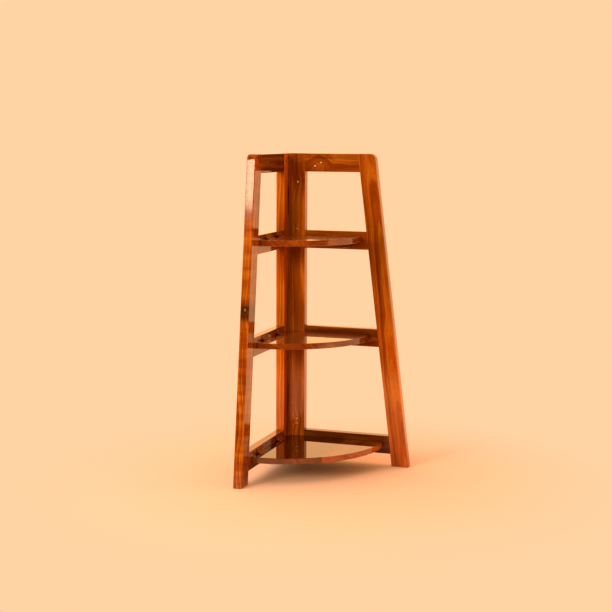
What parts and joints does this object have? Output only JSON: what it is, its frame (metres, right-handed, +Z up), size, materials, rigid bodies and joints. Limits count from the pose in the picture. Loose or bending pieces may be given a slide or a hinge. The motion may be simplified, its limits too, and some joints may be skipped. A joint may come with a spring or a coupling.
{
  "type": "folding corner shelf",
  "caption": "Folding corner shelf: two hinged ladder frames with sloping legs, and quarter-round wooden shelves that lift up against one frame so that it folds flat.",
  "frame": {"origin": "centre of the floor rectangle that the whole object covers, on the floor", "axes": "+Z up; the right frame runs along +X and the left frame along -Y from the rear corner, so the open side faces +X and -Y"},
  "size_m": [0.3344, 0.3406, 0.76],
  "materials": {
    "frame_wood": "reddish-brown hardwood with streaky grain under glossy lacquer",
    "shelf_wood": "reddish-brown hardwood boards under very glossy lacquer",
    "rest_wood": "dark reddish-brown hardwood under lacquer",
    "hinge_brass": "satin brass, slightly dulled",
    "pin_steel": "bright drawn steel",
    "screw_steel": "plated steel, slightly yellow"
  },
  "bodies": {
    "left_frame": {"left_post": "frame_wood", "left_leg": "frame_wood", "left_top_rail": "frame_wood", "left_upper_rail": "frame_wood", "left_middle_rail": "frame_wood", "left_lower_rail": "frame_wood", "upper_corner_hinge_left_leaf": "hinge_brass", "upper_corner_hinge_pin": "pin_steel", "lower_corner_hinge_left_leaf": "hinge_brass", "lower_corner_hinge_pin": "pin_steel", "corner_hinge_left_screws": "screw_steel", "upper_front_hinge_rail_leaf": "hinge_brass", "upper_front_hinge_pin": "pin_steel", "upper_rear_hinge_rail_leaf": "hinge_brass", "upper_rear_hinge_pin": "pin_steel", "middle_front_hinge_rail_leaf": "hinge_brass", "middle_front_hinge_pin": "pin_steel", "middle_rear_hinge_rail_leaf": "hinge_brass", "middle_rear_hinge_pin": "pin_steel", "lower_front_hinge_rail_leaf": "hinge_brass", "lower_front_hinge_pin": "pin_steel", "lower_rear_hinge_rail_leaf": "hinge_brass", "lower_rear_hinge_pin": "pin_steel", "shelf_hinge_rail_screws": "screw_steel"},
    "right_frame": {"right_post": "frame_wood", "right_leg": "frame_wood", "right_top_rail": "frame_wood", "right_upper_rail": "frame_wood", "right_middle_rail": "frame_wood", "right_lower_rail": "frame_wood", "upper_shelf_rest": "rest_wood", "middle_shelf_rest": "rest_wood", "lower_shelf_rest": "rest_wood", "upper_corner_hinge_right_leaf": "hinge_brass", "lower_corner_hinge_right_leaf": "hinge_brass", "corner_hinge_right_screws": "screw_steel", "shelf_rest_screws": "screw_steel"},
    "lower_shelf": {"lower_shelf_inner_board": "shelf_wood", "lower_shelf_outer_board": "shelf_wood", "lower_front_hinge_shelf_leaf": "hinge_brass", "lower_rear_hinge_shelf_leaf": "hinge_brass", "lower_shelf_hinge_screws": "screw_steel"},
    "middle_shelf": {"middle_shelf_inner_board": "shelf_wood", "middle_shelf_outer_board": "shelf_wood", "middle_front_hinge_shelf_leaf": "hinge_brass", "middle_rear_hinge_shelf_leaf": "hinge_brass", "middle_shelf_hinge_screws": "screw_steel"},
    "upper_shelf": {"upper_shelf_inner_board": "shelf_wood", "upper_shelf_outer_board": "shelf_wood", "upper_front_hinge_shelf_leaf": "hinge_brass", "upper_rear_hinge_shelf_leaf": "hinge_brass", "upper_shelf_hinge_screws": "screw_steel"}
  },
  "joints": [
    {"name": "corner_fold", "type": "hinge", "parent": "left_frame", "child": "right_frame", "pos_m": [-0.14496, 0.16731, 0], "axis": [0, 0, 1], "range_deg": [0, 90]},
    {"name": "lower_shelf_lift", "type": "hinge", "parent": "left_frame", "child": "lower_shelf", "pos_m": [-0.14366, 0.04301, 0.0625], "axis": [0, -1, 0], "range_deg": [0, 90]},
    {"name": "middle_shelf_lift", "type": "hinge", "parent": "left_frame", "child": "middle_shelf", "pos_m": [-0.14366, 0.04301, 0.3265], "axis": [0, -1, 0], "range_deg": [0, 90]},
    {"name": "upper_shelf_lift", "type": "hinge", "parent": "left_frame", "child": "upper_shelf", "pos_m": [-0.14366, 0.04301, 0.5645], "axis": [0, -1, 0], "range_deg": [0, 90]}
  ]
}
